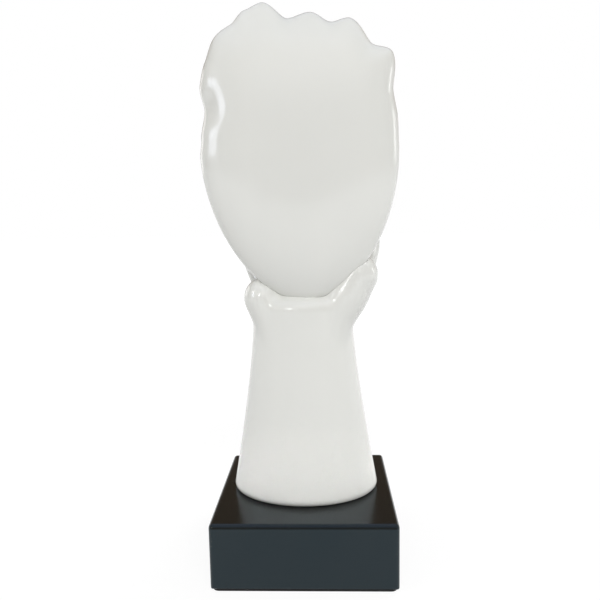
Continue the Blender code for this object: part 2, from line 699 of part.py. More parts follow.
def main():
    make_felt()
    make_plinth()
    for name, (x, y) in zip(("left", "right"), screw_places()):
        make_washer("washer_" + name, x, y)
        make_screw("fixing_screw_" + name, x, y)
    make_plug()
    make_dowel()
    face, seat = make_face()
    make_hand(seat)


main()
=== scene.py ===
"""Looks of the white cast face resting in an upright hand on a black plinth.

The two castings are rebuilt here with fine features, on the same skeleton and the same places as the CAD.
The face looks towards -Y and +Z is up. Lengths are metres; the face's features are drawn in plan units.
"""

import json
import math

import bmesh
import bpy
import numpy as np
from mathutils import Matrix, Vector


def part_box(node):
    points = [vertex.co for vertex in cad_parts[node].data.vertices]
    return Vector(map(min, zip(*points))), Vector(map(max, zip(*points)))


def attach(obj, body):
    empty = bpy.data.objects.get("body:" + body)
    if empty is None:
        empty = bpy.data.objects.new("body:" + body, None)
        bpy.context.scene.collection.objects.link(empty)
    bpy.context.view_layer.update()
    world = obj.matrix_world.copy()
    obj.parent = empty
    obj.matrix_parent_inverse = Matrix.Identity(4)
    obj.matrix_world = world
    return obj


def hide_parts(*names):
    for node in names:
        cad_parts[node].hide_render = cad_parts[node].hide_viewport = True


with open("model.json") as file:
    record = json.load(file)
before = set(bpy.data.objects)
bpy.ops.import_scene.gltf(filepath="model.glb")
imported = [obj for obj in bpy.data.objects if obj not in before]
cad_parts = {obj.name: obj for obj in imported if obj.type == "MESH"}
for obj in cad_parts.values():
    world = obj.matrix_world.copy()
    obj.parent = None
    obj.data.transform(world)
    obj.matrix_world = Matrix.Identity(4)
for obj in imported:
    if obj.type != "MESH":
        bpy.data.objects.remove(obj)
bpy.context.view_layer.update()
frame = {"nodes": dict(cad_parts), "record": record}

MM = 0.001
DETAIL = 1.0

# Forearm and wrist
ARM_LENGTH = 82 * MM
FOOT_WIDTH = 73 * MM
WRIST_WIDTH = 49.6 * MM
ARM_DEPTH_SHARE = 0.78
FOOT_SETBACK = 2.2 * MM
ARM_WALL = 6 * MM
WRIST_CORE = 22 * MM
CAVITY_DOME = 9 * MM
CUT_RUNOUT = 4 * MM

# Face
FACE_WIDTH = 92 * MM
SKULL_HEIGHT = 60 * MM
JAW_HEIGHT = 70 * MM
FACE_DEPTH = 36 * MM
BACK_DEPTH = 13 * MM
CHIN_RISE = 13 * MM
RIM_SETBACK = 8 * MM
FACE_TILT = math.radians(3)
SEAT_GAP = 0.04 * MM

# Dowel bore
DOWEL_WIDTH = 6.6 * MM
DOWEL_SETBACK = 3 * MM

# Hand
FINGER_WIDTHS = (14 * MM, 11.4 * MM, 10 * MM, 8.6 * MM)
FINGER_LIFTS = (8 * MM, 6.5 * MM, 4.5 * MM, 2.6 * MM)
FINGER_SIZES = (1.0, 1.04, 0.98, 0.84)
THUMB_WIDTHS = (18 * MM, 15 * MM, 13 * MM, 9.8 * MM)
PALM_THICKNESS = 21 * MM
PALM_SPREAD = 7.6 * MM
HEEL_RISE = 16 * MM
HEEL_DOME = 8 * MM
DOME_SHARE_BELOW = 0.7
LITTLE_PAD = ((0.20, -1.4), (0.265, 0.1), (0.375, 0.9))
LITTLE_PAD_WIDTHS = (22 * MM, 21 * MM, 20 * MM)
THUMB_PAD = ((-0.20, -1.4), (-0.285, 0.2), (-0.42, 0.95), (-0.53, 1.55))
THUMB_PAD_WIDTHS = (22 * MM, 22 * MM, 23 * MM, 21 * MM)
PAD_SETBACK = 3 * MM
WEB_SAG = 3.2 * MM
FINGER_JOINTS = (
    ((0.03, -0.795), (0.31, -0.545), (0.42, -0.385), (0.51, -0.23)),
    ((0.18, -0.815), (0.43, -0.595), (0.55, -0.44), (0.64, -0.285)),
    ((0.33, -0.825), (0.53, -0.64), (0.635, -0.505), (0.71, -0.38)),
    ((0.47, -0.805), (0.56, -0.70), (0.62, -0.61), (0.665, -0.525)),
)
THUMB_JOINTS = ((-0.58, -0.48), (-0.56, -0.25))
HAND_VOXEL = 0.55 * MM / DETAIL
HAND_SMOOTHING = 18
PALM_SMOOTHING = 120
FOOT_ROUND = 2.8 * MM
KNUCKLE_RISE = 0.7 * MM
TENDON_RISE = 0.5 * MM
WRIST_BONE_RISE = 1.0 * MM
ARM_SEGMENTS = 160
CAVITY_SEGMENTS = 64
BORE_SEGMENTS = 48
SHARP_ANGLE = math.radians(50)

# Face plan
PLAN_HALF_WIDTH = 46
PLAN_SKULL = 60
PLAN_JAW = 67
PLAN_DEPTH = 36
SKULL_POWER = 3.0
JAW_POWER = 1.85
BACK_POWER = 3.4
FACE_GRID = int(280 * DETAIL)
EYE = (18.6, -0.8, 11, 8.6)
NOSE_ROOT = 10
NOSE_FOOT = -31.2
NOSTRIL = (3.8, -29.6, 1.9, 1.2)
MOUTH_LINE = -41.8
MOUTH_HALF_WIDTH = 12.6
CHEEKBONE = (28, -12, 12, 8.5)
CHEEK_HOLLOW = (31, -37, 10, 13)
CHIN_BALL = (0, -58, 11.5, 6.6)
RIM_DENT = (42.5, 22.5, 7.5, 7.5)
RIM_DENT_SHARE = 0.42
HAIRLINE_TOP = 45
HAIRLINE_DROP = 36
HAIR_WAVES = ((0, 0), (10, -1.2), (26.5, -3.4), (37, -0.1), (47, 0.4), (58, 2.6), (65, 2.2), (72.5, 5.4),
              (79.5, 6.9), (89, -1.4), (98.5, 0.7), (108, -3.2), (116, 0.9), (128, -2.2), (138.5, 4.5),
              (153, -0.5), (166, 0.2), (180, 0))

# Places
FOOT_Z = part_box("forearm_hand")[0].z
WRIST_Z = FOOT_Z + ARM_LENGTH
WRIST = Vector((0, -FOOT_SETBACK, WRIST_Z))
FACE_TURN = Matrix.Rotation(FACE_TILT, 4, "Y")
CHIN = Vector((-JAW_HEIGHT * math.sin(FACE_TILT), RIM_SETBACK, WRIST_Z + CHIN_RISE))
FACE_CENTRE = CHIN - FACE_TURN @ Vector((0, 0, -JAW_HEIGHT))
FACE_PLACE = Matrix.Translation(FACE_CENTRE) @ FACE_TURN

# Camera fitted to the plinth's corners in the photograph
CAMERA_PLACE = Vector((-11.05, 303.57, 165.35)) * MM
CAMERA_YAW = math.radians(2.316)
CAMERA_PITCH = math.radians(7.303)
CAMERA_ROLL = math.radians(-1.120)
CAMERA_LENS = 37.585

# Lamps
MIDDLE = (0, 0, 0.15)
FOOT = (0, 0, 0.03)

SCENE = bpy.context.scene


def smooth_step(value, low, high):
    t = np.clip((value - low) / (high - low), 0, 1)
    return t * t * (3 - 2 * t)


def smooth_max(x, y, blend):
    h = np.clip(0.5 + 0.5 * (x - y) / blend, 0, 1)
    return y + (x - y) * h + blend * h * (1 - h)


def bump(a, b, at_a, at_b, width_a, width_b):
    return np.exp(-((a - at_a) / width_a) ** 2 - ((b - at_b) / width_b) ** 2)


def cap(a, b, at_a, at_b, radius_a, radius_b):
    return np.sqrt(np.clip(1 - ((a - at_a) / radius_a) ** 2 - ((b - at_b) / radius_b) ** 2, 0, 1))


def link(name, data):
    obj = bpy.data.objects.new(name, data)
    SCENE.collection.objects.link(obj)
    return obj


def grid_mesh(name, co, faces):
    mesh = bpy.data.meshes.new(name)
    mesh.from_pydata(co.tolist(), [], faces)
    mesh.update()
    return mesh


def read_normals(mesh):
    normals = np.empty(len(mesh.vertices) * 3)
    mesh.vertices.foreach_get("normal", normals)
    return normals.reshape(-1, 3)


def read_co(mesh):
    co = np.empty(len(mesh.vertices) * 3)
    mesh.vertices.foreach_get("co", co)
    return co.reshape(-1, 3)


def write_co(mesh, co):
    mesh.vertices.foreach_set("co", co.ravel())
    mesh.update()


def bake(obj):
    depsgraph = bpy.context.evaluated_depsgraph_get()
    mesh = bpy.data.meshes.new_from_object(obj.evaluated_get(depsgraph))
    obj.modifiers.clear()
    obj.data = mesh
    return obj


def egg_radius(angle):
    across, up = np.abs(np.cos(angle)), np.abs(np.sin(angle))
    above = np.sin(angle) > 0
    height = np.where(above, PLAN_SKULL, PLAN_JAW)
    power = np.where(above, SKULL_POWER, JAW_POWER)
    return ((across / PLAN_HALF_WIDTH) ** power + (up / height) ** power) ** (-1 / power)


def wave_rise(degrees):
    """How far the hair stands out round the rim, easing from one wave to the next."""
    rise = np.zeros_like(degrees)
    for (start, low), (end, high) in zip(HAIR_WAVES, HAIR_WAVES[1:]):
        between = (degrees >= start) & (degrees < end)
        rise = np.where(between, low + (high - low) * smooth_step(degrees, start, end), rise)
    return rise


def dome(share, angle):
    down = np.clip(-np.sin(angle), 0, 1) ** 2
    up = np.clip(np.sin(angle), 0, 1) ** 2
    power = 2.4 + 2.9 * down + 0.6 * up
    return np.sqrt(np.clip(1 - share ** power, 0, 1))


def brow(m, b):
    arch = 9.0 + 2.4 * np.cos((m - 21) * 0.075) - 0.008 * (m - 21) ** 2
    inner_corner = bump(m, b, 10, 2.5, 6, 8)
    reach = np.exp(-((m - 19.5) / 17.5) ** 4 - (np.minimum(b - 1, 0) / 12) ** 2)
    socket = smooth_step(arch - b, -1.6, 6) * reach * smooth_step(m, 0.5, 9)
    ridge = np.exp(-((b - arch - 1) / 4.5) ** 2) * smooth_step(37 - m, 0, 14) * smooth_step(m, 1, 9)
    return 1.4 * ridge + bump(m, b, 0, 12.5, 8, 6) - (5.0 + 2.2 * inner_corner) * socket


def closed_eye(m, b, floor):
    """The lidded ball in its socket, the fold above it and the seam where the lids meet."""
    ball = 6.2 * cap(m, b, *EYE) - 7.2
    lid = (smooth_max(floor, ball, 4.2) - floor) * smooth_step(m, 5.0, 10.0)
    t = (m - EYE[0]) / (EYE[2] - 1.6)
    seam = EYE[1] - 4.4 + 2.1 * t * t + 0.5 * t
    on_eye = smooth_step(1.05 - np.abs(t), 0, 0.3)
    over = b - seam
    lash = 0.75 * smooth_step(over, -0.5, 0.7) * np.exp(-np.clip(over, 0, 99) / 4.5) * on_eye
    crease = 0.45 * np.exp(-((over + 0.2) / 0.6) ** 2) * on_eye
    fold_line = EYE[1] + 5.6 - 2.6 * t * t + 0.3 * t
    fold = 0.55 * np.exp(-((b - fold_line) / 0.9) ** 2) * smooth_step(1.02 - np.abs(t), 0, 0.35)
    return lid + lash - crease - fold


def nose(m, b):
    run = np.clip((NOSE_ROOT - b) / (NOSE_ROOT + 23.6), 0, 1)
    height = 3.4 + 7.0 * run ** 1.1 - 1.0 * np.exp(-((b - 2.5) / 6) ** 2)
    flank = smooth_step(8.2 + 2.2 * run - m, 0, 6)
    bridge = height * flank * smooth_step(NOSE_ROOT + 3 - b, 0, 11) * smooth_step(b - NOSE_FOOT, 0, 6)
    tip = 12.0 * cap(m, b, 0, -23.4, 8.0, 7.4) ** 0.9
    wing = 6.9 * cap(m, b, 6.6, -25.4, 5.0, 5.2)
    return smooth_max(bridge, smooth_max(tip, wing, 3.6), 3.6)


def mouth(m, b):
    """The muzzle, and two lips that meet in a calm line with a gentle bow above."""
    share = np.clip(m / MOUTH_HALF_WIDTH, 0, 1.3)
    line = MOUTH_LINE - 0.5 * np.exp(-(m / 2.4) ** 2) + 0.35 * np.exp(-((m - 5) / 3) ** 2)
    line = line + 0.5 * share ** 2
    taper = np.sqrt(np.clip(1.02 - share ** 2, 0, 1))
    upper_height = (3.7 - 0.9 * np.exp(-(m / 1.8) ** 2)) * taper + 0.2
    lower_height = 4.9 * taper + 0.2
    up = np.clip((b - line) / upper_height, 0, 1)
    down = np.clip((line - b) / lower_height, 0, 1)
    upper = 1.75 * np.sin(math.pi * up ** 0.8) ** 0.9 * (b > line)
    lower = 2.2 * np.sin(math.pi * down ** 0.75) ** 0.9 * (b <= line)
    lips = (upper + lower) * smooth_step(1.02 - share, 0, 0.4)
    parting = 0.75 * np.exp(-((b - line) / 0.75) ** 2) * smooth_step(1.02 - share, 0, 0.3)
    corner = 0.9 * bump(m, b, MOUTH_HALF_WIDTH + 0.9, MOUTH_LINE, 2.4, 2.6)
    muzzle = 3.0 * bump(m, b, 0, MOUTH_LINE + 0.8, 16.5, 10.5)
    philtrum = 0.55 * bump(m, b, 0, MOUTH_LINE + 7.0, 1.5, 3.2)
    philtrum = philtrum - 0.25 * bump(m, b, 2.7, MOUTH_LINE + 6.6, 1.1, 3)
    return muzzle + lips - parting - corner - philtrum


def cheeks_and_chin(m, b):
    cheek = 2.0 * bump(m, b, *CHEEKBONE) - 1.5 * bump(m, b, *CHEEK_HOLLOW)
    chin = 3.6 * bump(m, b, *CHIN_BALL) - 1.4 * bump(m, b, 0, MOUTH_LINE - 8, 8.5, 2.9)
    fold_line = 11.0 + (-27 - b) * 0.34
    fold = 0.5 * np.exp(-((m - fold_line) / 2.0) ** 2) * smooth_step(-b, 26, 33) * smooth_step(b, -46, -38)
    return cheek + chin - fold


def hair(a, b, share, degrees):
    """Volume above the hairline, with locks and strands that run up into the tufts on the rim."""
    m = np.abs(a)
    hairline = HAIRLINE_TOP - HAIRLINE_DROP * (m / (PLAN_HALF_WIDTH - 4)) ** 2.6
    flow = degrees + 3.2 * np.sin(5.2 * share + 0.13 * degrees) + 1.2 * np.sin(13 * share + 0.05 * degrees)
    hairline = hairline + 0.9 * np.sin(np.radians(flow * 21))
    region = smooth_step(b - hairline, -0.6, 3.6)
    strands = 0.34 * np.sin(np.radians(flow * 140)) + 0.42 * np.sin(np.radians(flow * 63 + 50))
    locks = 1.3 * np.abs(np.sin(np.radians(flow * 9 + 25))) ** 0.7 - 0.6
    inside = 1 - smooth_step(share, 0.84, 0.93)
    return region * (3.6 + 0.45 * wave_rise(degrees) + inside * (locks + strands))


def relief(a, b):
    m = np.abs(a)
    floor = brow(m, b)
    skin = floor + closed_eye(m, b, floor) + cheeks_and_chin(m, b) + mouth(m, b)
    proud = nose(m, b)
    skin = np.where(proud > 0.02, smooth_max(skin, proud + 0.4 * np.minimum(skin, 0), 2.4), skin)
    skin = skin - 2.4 * bump(m, b, *NOSTRIL)
    groove = np.hypot(m - 10.2, (b + 25.4) / 1.3)
    return skin - 0.5 * np.exp(-((groove - 1.6) / 1.1) ** 2) * smooth_step(m, 9, 11.5)


def disc_grid(count):
    """Ring radius and turn of each point of a square grid that is wrapped on a disc, ring by ring."""
    line = np.linspace(-1, 1, count + 1)
    u, v = np.meshgrid(line, line, indexing="ij")
    wide = np.abs(u) >= np.abs(v)
    safe_u, safe_v = np.where(u == 0, 1, u), np.where(v == 0, 1, v)
    turn = np.where(wide, math.pi / 4 * v / safe_u, math.pi / 2 - math.pi / 4 * u / safe_v)
    radius = np.where(wide, u, v)
    turn = np.where(radius < 0, turn + math.pi, turn)
    return np.abs(radius).ravel(), turn.ravel()


def face_scale(b):
    up = np.where(b > 0, SKULL_HEIGHT / PLAN_SKULL, JAW_HEIGHT / PLAN_JAW)
    return FACE_WIDTH / 2 / PLAN_HALF_WIDTH, up, FACE_DEPTH / PLAN_DEPTH


def face_mesh():
    """Front and back grids that share the rim."""
    count = FACE_GRID
    phase, turn = disc_grid(count)
    share = np.sin(math.pi / 2 * phase)
    height = np.where(np.sin(turn) > 0, PLAN_SKULL, PLAN_JAW)
    angle = np.arctan2(height * np.sin(turn), PLAN_HALF_WIDTH * np.cos(turn))
    degrees = np.degrees(angle)
    radius = share * egg_radius(angle) + share ** 8 * wave_rise(degrees)
    a, b = radius * np.cos(angle), radius * np.sin(angle)
    wide, tall, deep = face_scale(b)
    front = np.column_stack((a * wide, -FACE_DEPTH * dome(share, angle), b * tall))
    dent = 1 - RIM_DENT_SHARE * bump(a, b, *RIM_DENT)
    bulge = dent * BACK_DEPTH * np.sqrt(np.clip(1 - share ** BACK_POWER, 0, 1))
    back = np.column_stack((a * wide, bulge, b * tall))
    rows = np.arange((count + 1) ** 2).reshape(count + 1, count + 1)
    rim = np.zeros((count + 1, count + 1), bool)
    rim[0], rim[-1], rim[:, 0], rim[:, -1] = True, True, True, True
    inner = ~rim.ravel()
    twin = rows.ravel().copy()
    twin[inner] = (count + 1) ** 2 + np.arange(inner.sum())
    faces = []
    for names, flip in ((rows, False), (twin.reshape(rows.shape), True)):
        quads = np.stack((names[:-1, :-1], names[1:, :-1], names[1:, 1:], names[:-1, 1:]), axis=-1)
        faces += corner_split(quads, flip)
    mesh = grid_mesh("face", np.vstack((front, back[inner])), faces)
    normals = read_normals(mesh)[: len(front)]
    fade = (1 - smooth_step(share, 0.93, 1)) * deep
    front += normals * (relief(a, b) * fade)[:, None]
    front[:, 1] -= hair(a, b, share, degrees) * fade
    co = np.vstack((front, back[inner]))
    write_co(mesh, co)
    return mesh


def corner_split(quads, flip):
    """Lists the quads, with the four corner ones cut in two along the diagonal that starts at the corner."""
    last = len(quads) - 1
    faces = []
    for i, j, start in ((0, 0, 0), (last, 0, 1), (last, last, 2), (0, last, 3)):
        quad = np.roll(quads[i, j], -start)
        faces += [[quad[0], quad[1], quad[2]], [quad[0], quad[2], quad[3]]]
    keep = np.ones(quads.shape[:2], bool)
    keep[[0, last, last, 0], [0, 0, last, last]] = False
    faces = quads[keep].tolist() + [[int(n) for n in face] for face in faces]
    return [face[::-1] for face in faces] if flip else faces


def make_face():
    mesh = face_mesh()
    mesh.transform(FACE_PLACE)
    bm = bmesh.new()
    bm.from_mesh(mesh)
    bmesh.ops.recalc_face_normals(bm, faces=bm.faces)
    bm.to_mesh(mesh)
    bm.free()
    mesh.shade_smooth()
    return link("face", mesh)


def arm_half_width(share):
    flare = max(1 - share, 0) ** 1.3
    return WRIST_WIDTH / 2 + (FOOT_WIDTH - WRIST_WIDTH) / 2 * flare


def lathe(name, profile, segments):
    """A closed oval solid turned about the forearm's axis from radius and height pairs, top to bottom."""
    turns = np.linspace(0, 2 * math.pi, segments, endpoint=False)
    co = [(0, -FOOT_SETBACK, profile[0][1])]
    for r, z in profile[1:-1]:
        co += [(r * math.cos(t), r * ARM_DEPTH_SHARE * math.sin(t) - FOOT_SETBACK, z) for t in turns]
    co.append((0, -FOOT_SETBACK, profile[-1][1]))
    faces = [(0, 1 + i, 1 + (i + 1) % segments) for i in range(segments)]
    for ring in range(len(profile) - 3):
        start = 1 + ring * segments
        for i in range(segments):
            after = (i + 1) % segments
            faces.append((start + i, start + segments + i, start + segments + after, start + after))
    start = 1 + (len(profile) - 3) * segments
    faces += [(start + i, len(co) - 1, start + (i + 1) % segments) for i in range(segments)]
    return grid_mesh(name, np.array(co), faces)


def arm_profile(inset, bottom, top, steps):
    heights = [top + (bottom - top) * i / steps for i in range(steps + 1)]
    profile = [(arm_half_width((z - FOOT_Z) / ARM_LENGTH) - inset, z) for z in heights]
    return [(0, top)] + profile + [(0, bottom)]


def arm_mesh():
    """The forearm, run on past its foot, with its wrist run up to the rounded heel under the chin."""
    shoulder = WRIST_Z + HEEL_RISE - DOME_SHARE_BELOW * HEEL_DOME
    steps = [math.pi / 2 * i / 24 for i in range(1, 24)]
    heel = [(0, shoulder + HEEL_DOME)]
    heel += [(WRIST_WIDTH / 2 * math.sin(t), shoulder + HEEL_DOME * math.cos(t)) for t in steps]
    return lathe("arm", heel + arm_profile(0, FOOT_Z - 2 * CUT_RUNOUT, shoulder, 48)[1:], ARM_SEGMENTS)


def arm_cavity():
    shoulder = WRIST_Z - WRIST_CORE
    radius = arm_half_width(1 - WRIST_CORE / ARM_LENGTH) - ARM_WALL
    steps = [math.pi / 2 * i / 8 for i in range(1, 8)]
    rounded = [(0, shoulder + CAVITY_DOME)]
    rounded += [(radius * math.sin(t), shoulder + CAVITY_DOME * math.cos(t)) for t in steps]
    below = arm_profile(ARM_WALL, FOOT_Z - CUT_RUNOUT, shoulder, 12)[1:]
    return lathe("arm_cavity", rounded + below, CAVITY_SEGMENTS)


def on_face(across, up, lift):
    """A point over the bare mask, lifted square to the surface, and the direction of that lift."""
    share, angle = math.hypot(across, up), math.atan2(up * PLAN_JAW, across * PLAN_HALF_WIDTH)
    step = 0.01
    out = -FACE_DEPTH * dome(share, angle)
    slope = -FACE_DEPTH * (dome(min(share + step, 1), angle) - dome(share - step, angle)) / (2 * step)
    radial = Vector((across * FACE_WIDTH / 2, 0, up * JAW_HEIGHT))
    normal = (radial.normalized() * slope / radial.length * share - Vector((0, 1, 0))).normalized()
    place = FACE_PLACE @ (radial + Vector((0, out, 0)) + normal * lift)
    return place, (FACE_TURN.to_3x3() @ normal).normalized()


def limb(points, widths):
    """A tapering round tube through the joints, with a ball at each end."""
    curve = bpy.data.curves.new("limb", "CURVE")
    curve.dimensions = "3D"
    curve.bevel_depth = 1
    curve.bevel_resolution = 10
    curve.resolution_u = 16
    curve.use_fill_caps = True
    spline = curve.splines.new("BEZIER")
    spline.bezier_points.add(len(points) - 1)
    for joint, place, width in zip(spline.bezier_points, points, widths):
        joint.co = place
        joint.radius = width / 2
        joint.handle_left_type = "AUTO"
        joint.handle_right_type = "AUTO"
    tube = link("limb", curve)
    mesh = bpy.data.meshes.new_from_object(tube.evaluated_get(bpy.context.evaluated_depsgraph_get()))
    bpy.data.objects.remove(tube)
    bm = bmesh.new()
    bm.from_mesh(mesh)
    bmesh.ops.remove_doubles(bm, verts=bm.verts, dist=0.00001)
    for place, width in ((points[0], widths[0]), (points[-1], widths[-1])):
        bmesh.ops.create_uvsphere(bm, u_segments=40, v_segments=24, radius=width / 2,
                                  matrix=Matrix.Translation(place))
    bm.to_mesh(mesh)
    bm.free()
    return mesh


def pad(joints, widths):
    """A fleshy pad of the palm's heel."""
    points = [WRIST + Vector((across * WRIST_WIDTH, FOOT_SETBACK + PAD_SETBACK, up * HEEL_RISE))
              for across, up in joints]
    return limb(points, widths)


def finger_points(number):
    """Joints of one finger from knuckle to tip, and the directions away from the face there."""
    size = FINGER_SIZES[number]
    pairs = [on_face(*joint, lift * size) for joint, lift in zip(FINGER_JOINTS[number], FINGER_LIFTS)]
    return [p for p, n in pairs], [n for p, n in pairs]


def thumb_points():
    root = WRIST + Vector((-0.26 * WRIST_WIDTH, 0, HEEL_RISE / 4))
    knuckle = CHIN + Vector((-0.30 * FACE_WIDTH, -RIM_SETBACK - FACE_DEPTH / 3, 1.5 * HEEL_RISE))
    pairs = [on_face(*joint, width * 0.36) for joint, width in zip(THUMB_JOINTS, THUMB_WIDTHS[2:])]
    return [root, knuckle] + [p for p, n in pairs], [n for p, n in pairs]


def hand_meshes():
    meshes = []
    for i, size in enumerate(FINGER_SIZES):
        widths = [width * size for width in FINGER_WIDTHS]
        points = finger_points(i)[0]
        meshes.append(limb(points, widths))
        root = WRIST + Vector(((i - 1.1) * PALM_SPREAD, -PALM_THICKNESS / 8, 0))
        middle = root.lerp(points[0], 0.5) - Vector((0, PALM_THICKNESS / 10, 0))
        meshes.append(limb((root, middle, points[0]), (PALM_THICKNESS, PALM_THICKNESS * 0.86, widths[0])))
    thumb = thumb_points()[0]
    meshes.append(limb(thumb, THUMB_WIDTHS))
    index_knuckle = finger_points(0)[0][0]
    near, far = WRIST.lerp(index_knuckle, 0.65), thumb[0].lerp(thumb[1], 0.6)
    sag = near.lerp(far, 0.5) - Vector((0, 0, WEB_SAG))
    meshes.append(limb((near, sag, far), (THUMB_WIDTHS[1],) * 3))
    meshes += [pad(LITTLE_PAD, LITTLE_PAD_WIDTHS), pad(THUMB_PAD, THUMB_PAD_WIDTHS)]
    return meshes


def under_foot():
    """A block that trims the forearm level at its foot."""
    mesh = bpy.data.meshes.new("under_foot")
    bm = bmesh.new()
    bmesh.ops.create_cube(bm, size=1)
    bmesh.ops.scale(bm, vec=(2 * FOOT_WIDTH, 2 * FOOT_WIDTH, 4 * CUT_RUNOUT), verts=bm.verts)
    bmesh.ops.translate(bm, vec=(0, 0, FOOT_Z - 2 * CUT_RUNOUT), verts=bm.verts)
    bm.to_mesh(mesh)
    bm.free()
    return mesh


def dowel_bore():
    mesh = bpy.data.meshes.new("dowel_bore")
    bottom, top = WRIST_Z - WRIST_CORE - CUT_RUNOUT, CHIN.z + 2 * HEEL_RISE
    bm = bmesh.new()
    bmesh.ops.create_cone(bm, cap_ends=True, segments=BORE_SEGMENTS, radius1=DOWEL_WIDTH / 2,
                          radius2=DOWEL_WIDTH / 2, depth=top - bottom)
    bmesh.ops.translate(bm, vec=(CHIN.x, DOWEL_SETBACK, (top + bottom) / 2), verts=bm.verts)
    bm.to_mesh(mesh)
    bm.free()
    return mesh


def face_seat(face):
    """The face, grown by the gap that it sits in."""
    mesh = face.data.copy()
    write_co(mesh, read_co(mesh) + read_normals(mesh) * SEAT_GAP)
    return mesh


def cut(obj, meshes):
    """Cuts each mesh out of the object, in turn."""
    cutters = [link("cutter", mesh) for mesh in meshes]
    for cutter in cutters:
        boolean = obj.modifiers.new("cut", "BOOLEAN")
        boolean.operation = "DIFFERENCE"
        boolean.solver = "MANIFOLD"
        boolean.object = cutter
    bake(obj)
    for cutter in cutters:
        bpy.data.objects.remove(cutter)


def along(co, start, end):
    """How far along a bone each point lies, as a share, and its distance from the bone."""
    start, end = np.array(start), np.array(end)
    bone = end - start
    share = np.clip((co - start) @ bone / (bone @ bone), 0, 1)
    return share, np.linalg.norm(co - start - share[:, None] * bone, axis=1)


def sculpt_hand(mesh):
    """Nails, knuckles, joint folds and tendons, pushed along the surface."""
    co = read_co(mesh)
    normals = read_normals(mesh)
    push = np.zeros(len(co))
    back = np.clip(-normals[:, 1], 0, 1)
    for i, size in enumerate(FINGER_SIZES):
        points, outs = finger_points(i)
        widths = [width * size for width in FINGER_WIDTHS]
        push += nail(co, normals, points, outs, widths[-1])
        for joint, depth in ((1, 0.26), (2, 0.2)):
            push += joint_folds(co, normals, points, outs, joint, widths[joint], depth)
        knuckle = np.array(points[0]) + np.array((0, -widths[0] * 0.4, 0))
        push += KNUCKLE_RISE * np.exp(-(np.linalg.norm(co - knuckle, axis=1) / (5.2 * MM)) ** 2)
        root = np.array(WRIST) + np.array(((i - 1.1) * PALM_SPREAD * 0.8, -PALM_THICKNESS * 0.5, -4 * MM))
        share, away = along(co, root, knuckle)
        push += TENDON_RISE * np.exp(-(away / (3.4 * MM)) ** 2) * smooth_step(share, 0, 0.35) * back
    points, outs = thumb_points()
    outs = [outs[0]] * 2 + outs
    push += nail(co, normals, points, outs, THUMB_WIDTHS[-1] * 1.08)
    push += joint_folds(co, normals, points, outs, 2, THUMB_WIDTHS[2], 0.22)
    ulna = np.array(WRIST) + np.array((0.34 * WRIST_WIDTH, -0.3 * WRIST_WIDTH, -8 * MM))
    push += WRIST_BONE_RISE * np.exp(-(np.linalg.norm(co - ulna, axis=1) / (7 * MM)) ** 2)
    under = np.clip(FOOT_ROUND - (co[:, 2] - FOOT_Z), 0, FOOT_ROUND)
    push -= FOOT_ROUND - np.sqrt(FOOT_ROUND ** 2 - under ** 2)
    write_co(mesh, co + normals * push[:, None])


def tip_axes(points, outs):
    """Middle of a fingertip and its directions: towards the tip, sideways and away from the face."""
    forward = (points[-1] - points[-2]).normalized()
    out = (outs[-1] - forward * outs[-1].dot(forward)).normalized()
    return np.array(points[-1]), np.array(forward), np.array(forward.cross(out)), np.array(out)


def nail(co, normals, points, outs, width):
    centre, forward, side, out = tip_axes(points, outs)
    offset = co - centre
    x, y, z = offset @ side / width, offset @ forward / width, offset @ out / width
    shape = (np.abs(x / 0.37) ** 2.6 + np.abs((y - 0.06) / 0.44) ** 2.6) ** (1 / 2.6)
    on_top = smooth_step(z, 0.02, 0.2) * smooth_step(normals @ out, 0.05, 0.35)
    plate = 0.22 * smooth_step(1 - shape, 0.0, 0.16)
    edge = 0.34 * np.exp(-((shape - 1.0) / 0.1) ** 2)
    fold = 0.14 * np.exp(-((shape - 1.28) / 0.16) ** 2)
    return (plate - edge + fold) * MM * on_top


def joint_folds(co, normals, points, outs, joint, width, depth):
    forward = (points[joint + 1] - points[joint - 1]).normalized()
    out = (outs[joint] - forward * outs[joint].dot(forward)).normalized()
    offset = co - np.array(points[joint])
    side = forward.cross(out)
    x, y = offset @ np.array(side) / width, offset @ np.array(forward) / width
    near = np.exp(-(x / 0.36) ** 4) * smooth_step(normals @ np.array(out), 0.1, 0.6)
    near = near * smooth_step(0.9 - np.linalg.norm(offset, axis=1) / width, 0, 0.3)
    swell = 0.42 * np.exp(-(y / 0.32) ** 2)
    bow = y + 0.10 * x * x
    folds = sum(np.exp(-((bow - at) / 0.035) ** 2) for at in (-0.15, 0.0, 0.15))
    return (swell - depth * folds) * MM * near


def group_by_height(obj):
    """A vertex group that is full on the forearm and palm, and fades out over the fingers."""
    co = read_co(obj.data)
    weight = 1 - smooth_step(co[:, 2], CHIN.z - 1 * MM, CHIN.z + 15 * MM)
    group = obj.vertex_groups.new(name="palm")
    for index, value in enumerate(weight):
        if value > 0.001:
            group.add((index,), float(value), "REPLACE")


def smooth(obj, iterations, group=""):
    modifier = obj.modifiers.new("soften", "SMOOTH")
    modifier.factor = 0.5
    modifier.iterations = int(iterations * DETAIL ** 2)
    modifier.vertex_group = group


